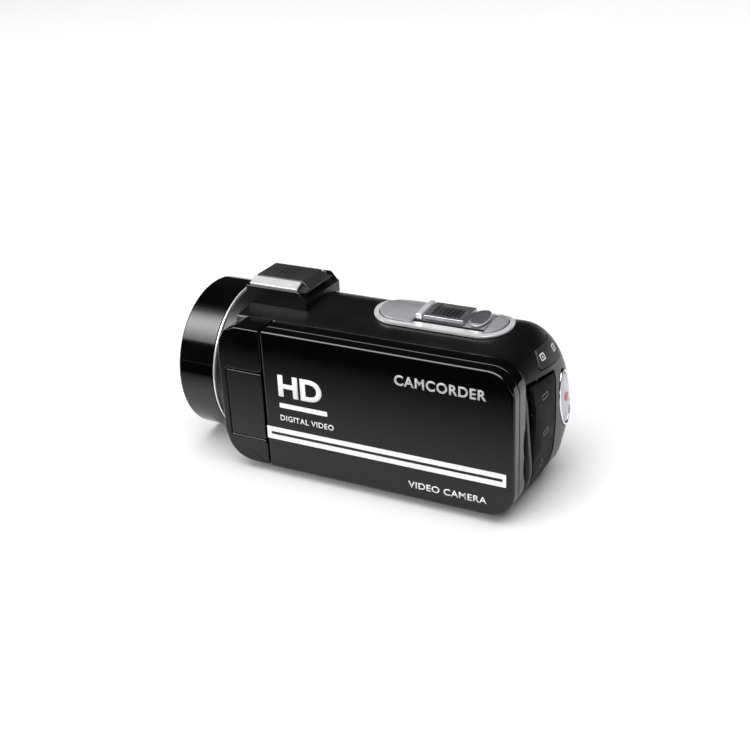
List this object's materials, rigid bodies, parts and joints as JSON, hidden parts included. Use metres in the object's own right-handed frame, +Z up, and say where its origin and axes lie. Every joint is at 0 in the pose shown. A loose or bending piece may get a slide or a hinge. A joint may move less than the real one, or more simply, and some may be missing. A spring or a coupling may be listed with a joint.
{
  "type": "camcorder",
  "caption": "Compact camcorder with a swing-out screen, accessory shoe, zoom plate, record button and hand strap.",
  "frame": {"origin": "centre of the bounding box in X and Y, on the surface it stands on", "axes": "the lens looks along -Y, the swing-out screen is on +X, +Z is up"},
  "size_m": [0.0682, 0.1224, 0.0577],
  "materials": {
    "gloss_black": "piano gloss",
    "satin_black": "satin moulded",
    "dark_grey": "fine matte texture",
    "rubber": "matte",
    "chrome": "bright plated",
    "satin_silver": "satin silver paint",
    "pearl_grey": "pearl grey",
    "steel": "brushed",
    "brass": "turned",
    "clear_glass": "coated optical glass",
    "screen_glass": "dark screen glass",
    "circuit_board": "solder resist",
    "white_plastic": "diffuser",
    "strap_webbing": "woven nylon",
    "strap_fabric": "padded mesh fabric"
  },
  "bodies": {
    "camera_body": {"front_ring": "gloss_black", "chrome_trim_ring": "chrome", "front_collar": "satin_black", "front_plate": "satin_black", "microphone_grille_left": "steel", "microphone_grille_right": "steel", "front_lamp_lens": "clear_glass", "lens_barrel": "satin_black", "front_lens": "clear_glass", "rear_lens": "clear_glass", "sensor_holder": "satin_black", "sensor_board": "circuit_board", "top_casing": "satin_black", "right_casing": "satin_black", "left_casing": "satin_black", "speaker_grille": "steel", "speaker": "steel", "base_cover": "satin_black", "base_screw_front_left": "steel", "base_screw_front_right": "steel", "base_screw_rear_left": "steel", "tripod_bush": "brass", "battery_pack": "dark_grey", "main_board": "circuit_board", "card_socket": "steel", "record_bezel": "chrome", "socket_panel": "dark_grey", "hdmi_socket": "steel", "usb_socket": "steel", "microphone_jack": "satin_black", "shoe_pedestal": "satin_black", "shoe_rails": "chrome", "zoom_plate_rim": "chrome", "zoom_plate_inner": "satin_silver", "zoom_front_cap": "satin_silver", "zoom_rear_cap": "satin_silver", "hinge_cowl": "gloss_black", "hinge_bracket": "steel", "strap_lug_front": "satin_black", "strap_lug_rear": "satin_black", "strap_band": "strap_webbing", "strap_pad": "strap_fabric"},
    "screen": {"hinge_block": "gloss_black", "swing_pin": "steel", "tilt_shaft": "steel", "screen_outer_cover": "gloss_black", "screen_inner_frame": "satin_black", "screen_glass": "screen_glass", "screen_backlight": "white_plastic"},
    "zoom_control": {"zoom_lever": "satin_silver", "zoom_lever_bar": "chrome"},
    "photo_key": {"photo_button": "satin_silver"},
    "record_key": {"record_button": "pearl_grey"},
    "rear_keys": {"rear_key_rocker": "dark_grey"},
    "power_key": {"power_button": "satin_silver"},
    "display_key": {"display_button": "dark_grey"},
    "shoe_slide_cover": {"shoe_cover": "dark_grey"},
    "socket_flap": {"port_cover": "rubber"},
    "battery_cover": {"battery_door": "satin_black"}
  },
  "joints": [
    {"name": "screen_swing", "type": "hinge", "parent": "camera_body", "child": "screen", "pos_m": [0.0321, -0.03654, 0.0235], "axis": [0, 0, -1], "range_deg": [0, 90]},
    {"name": "zoom_rock", "type": "hinge", "parent": "camera_body", "child": "zoom_control", "pos_m": [0.0041, 0.02646, 0.0255], "axis": [0, 1, 0], "range_deg": [-3, 3], "stiffness_Nm_per_rad": 0.4},
    {"name": "photo_press", "type": "slide", "parent": "camera_body", "child": "photo_key", "axis": [0, 0, -1], "range_m": [0, 0.0004], "stiffness_N_per_m": 800},
    {"name": "record_press", "type": "slide", "parent": "camera_body", "child": "record_key", "axis": [0, -1, 0], "range_m": [0, 0.0006], "stiffness_N_per_m": 800},
    {"name": "rear_key_rock", "type": "hinge", "parent": "camera_body", "child": "rear_keys", "pos_m": [0.0016, 0.05576, 0.0425], "axis": [0, 0.434, -0.9009], "range_deg": [-1.2, 1.2], "stiffness_Nm_per_rad": 0.3},
    {"name": "power_press", "type": "slide", "parent": "camera_body", "child": "power_key", "axis": [-1, 0, 0], "range_m": [0, 0.0004], "stiffness_N_per_m": 600},
    {"name": "display_press", "type": "slide", "parent": "camera_body", "child": "display_key", "axis": [-1, 0, 0], "range_m": [0, 0.0004], "stiffness_N_per_m": 600},
    {"name": "shoe_cover_slide", "type": "slide", "parent": "camera_body", "child": "shoe_slide_cover", "axis": [0, 1, 0], "range_m": [0, 0.019]},
    {"name": "socket_flap_swing", "type": "hinge", "parent": "camera_body", "child": "socket_flap", "pos_m": [0.0015, 0.06036, 0.022], "axis": [0, 0, 1], "range_deg": [0, 100]},
    {"name": "battery_door_slide", "type": "slide", "parent": "camera_body", "child": "battery_cover", "axis": [0, 1, 0], "range_m": [0, 0.025]}
  ]
}
